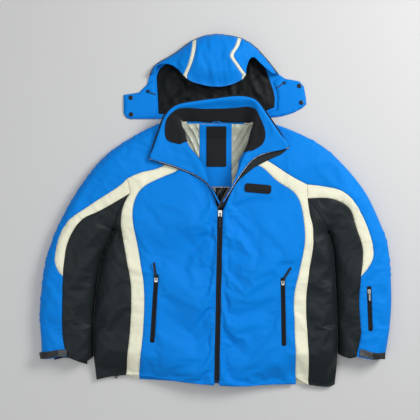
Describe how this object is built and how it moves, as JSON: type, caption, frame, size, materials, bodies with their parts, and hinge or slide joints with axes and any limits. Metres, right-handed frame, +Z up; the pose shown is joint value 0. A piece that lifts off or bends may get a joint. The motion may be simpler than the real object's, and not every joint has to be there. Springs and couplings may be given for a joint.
{
  "type": "ski jacket",
  "caption": "Padded ski jacket laid flat on its back, with an open collar, a front zip, zipped hand and sleeve pockets, cuff straps and a detached hood under the collar.",
  "frame": {"origin": "centre of the laid jacket's outline on the surface that it lies on", "axes": "+X to the wearer's left, +Y from the hem to the hood, +Z up from the surface, out of the jacket's front"},
  "size_m": [0.9204, 0.9256, 0.0672],
  "materials": {
    "shell_blue": "fine dull polyester weave with a coated back",
    "stripe_cream": "fine dull polyester weave",
    "shell_black": "fine dull polyester weave",
    "lining_satin": "smooth satin lining",
    "wadding": "loose polyester padding",
    "lining_black": "smooth lining",
    "fleece_black": "short pile fleece",
    "zip_tape": "woven zip tape",
    "zip_coil": "moulded coil",
    "slider_metal": "satin nickel",
    "pull_rubber": "matte moulded rubber",
    "badge_rubber": "matte moulded rubber with pale raised marks",
    "strap_rubber": "smooth moulded rubber",
    "loop_black": "hook and loop pile",
    "stud_metal": "black oxide",
    "cord_black": "braided elastic",
    "label_black": "damask weave",
    "piping_silver": "reflective piping",
    "plastic_black": "moulded"
  },
  "bodies": {
    "jacket": {"front_panel_right": "shell_blue", "front_panel_left": "shell_blue", "front_trim_right": "stripe_cream", "front_trim_left": "stripe_cream", "side_panel_right": "shell_black", "side_panel_left": "shell_black", "back_panel": "shell_blue", "back_trims": "stripe_cream", "hem_band": "shell_blue", "sleeve_outer_right": "shell_blue", "sleeve_outer_left": "shell_blue", "sleeve_trim_right": "stripe_cream", "sleeve_trim_left": "stripe_cream", "sleeve_under_right": "shell_black", "sleeve_under_left": "shell_black", "cuff_facings": "lining_black", "cuff_loop_fields": "loop_black", "front_wadding": "wadding", "back_wadding": "wadding", "sleeve_wadding": "wadding", "front_lining": "lining_satin", "back_lining": "lining_satin", "sleeve_lining": "lining_satin", "neck_facing": "shell_blue", "facing_piping": "piping_silver", "neck_label": "label_black", "hanger_loop": "shell_blue", "pocket_bags": "lining_black", "collar_shell": "shell_blue", "collar_facing": "shell_blue", "collar_fleece": "fleece_black", "hood_zip_tape": "zip_tape", "storm_flap": "shell_black", "front_zip_tapes": "zip_tape", "front_zip_coil": "zip_coil", "front_zip_box": "plastic_black", "pocket_zip_right": "zip_tape", "pocket_zip_left": "zip_tape", "sleeve_zip": "zip_tape", "chest_badge": "badge_rubber", "hem_cord": "cord_black"},
    "front_slider": {"front_slider": "slider_metal"},
    "front_pull": {"front_pull": "pull_rubber"},
    "pocket_slider_right": {"pocket_slider_right": "slider_metal"},
    "pocket_pull_right": {"pocket_pull_right": "pull_rubber"},
    "pocket_slider_left": {"pocket_slider_left": "slider_metal"},
    "pocket_pull_left": {"pocket_pull_left": "pull_rubber"},
    "sleeve_slider": {"sleeve_slider": "slider_metal"},
    "sleeve_pull": {"sleeve_pull": "slider_metal"},
    "cuff_strap_right": {"cuff_strap_right": "strap_rubber"},
    "cuff_strap_left": {"cuff_strap_left": "strap_rubber"},
    "hood": {"hood_centre": "shell_blue", "hood_side_right": "shell_blue", "hood_side_left": "shell_blue", "hood_trims": "stripe_cream", "hood_lining": "lining_black", "hood_studs": "stud_metal", "hood_eyelets": "stud_metal", "hood_cords": "cord_black"},
    "hem_cord_lock": {"hem_cord_lock": "plastic_black"}
  },
  "joints": [
    {"name": "front_zip_slide", "type": "slide", "parent": "jacket", "child": "front_slider", "axis": [-0.0194, -0.9998, 0], "range_m": [0, 0.415]},
    {"name": "front_pull_swing", "type": "hinge", "parent": "front_slider", "child": "front_pull", "pos_m": [0.01134, -0.008, 0.0469], "axis": [-0.9998, 0.0194, 0], "range_deg": [0, 160]},
    {"name": "pocket_right_zip_slide", "type": "slide", "parent": "jacket", "child": "pocket_slider_right", "axis": [-0.0628, -0.998, 0], "range_m": [0, 0.15]},
    {"name": "pocket_right_pull_swing", "type": "hinge", "parent": "pocket_slider_right", "child": "pocket_pull_right", "pos_m": [-0.15385, -0.17947, 0.0469], "axis": [0.998, -0.0628, 0], "range_deg": [0, 160]},
    {"name": "pocket_left_zip_slide", "type": "slide", "parent": "jacket", "child": "pocket_slider_left", "axis": [0.0175, -0.9998, 0], "range_m": [0, 0.15]},
    {"name": "pocket_left_pull_swing", "type": "hinge", "parent": "pocket_slider_left", "child": "pocket_pull_left", "pos_m": [0.17324, -0.1875, 0.0469], "axis": [0.9998, 0.0175, 0], "range_deg": [0, 160]},
    {"name": "sleeve_zip_slide", "type": "slide", "parent": "jacket", "child": "sleeve_slider", "axis": [0.0366, -0.9993, 0], "range_m": [0, 0.09]},
    {"name": "sleeve_pull_swing", "type": "hinge", "parent": "sleeve_slider", "child": "sleeve_pull", "pos_m": [0.39599, -0.20949, 0.0469], "axis": [-0.9993, -0.0366, 0], "range_deg": [0, 160]},
    {"name": "cuff_strap_right_peel", "type": "hinge", "parent": "jacket", "child": "cuff_strap_right", "pos_m": [-0.384, -0.367, 0.0471], "axis": [0, 1, 0], "range_deg": [0, 150]},
    {"name": "cuff_strap_left_peel", "type": "hinge", "parent": "jacket", "child": "cuff_strap_left", "pos_m": [0.3698, -0.367, 0.0471], "axis": [0, -1, 0], "range_deg": [0, 150]},
    {"name": "hood_draw_out", "type": "slide", "parent": "jacket", "child": "hood", "axis": [0, 1, 0], "range_m": [0, 0.22]},
    {"name": "hem_cord_lock_slide", "type": "slide", "parent": "jacket", "child": "hem_cord_lock", "axis": [0, 1, 0], "range_m": [0, 0.012]}
  ]
}
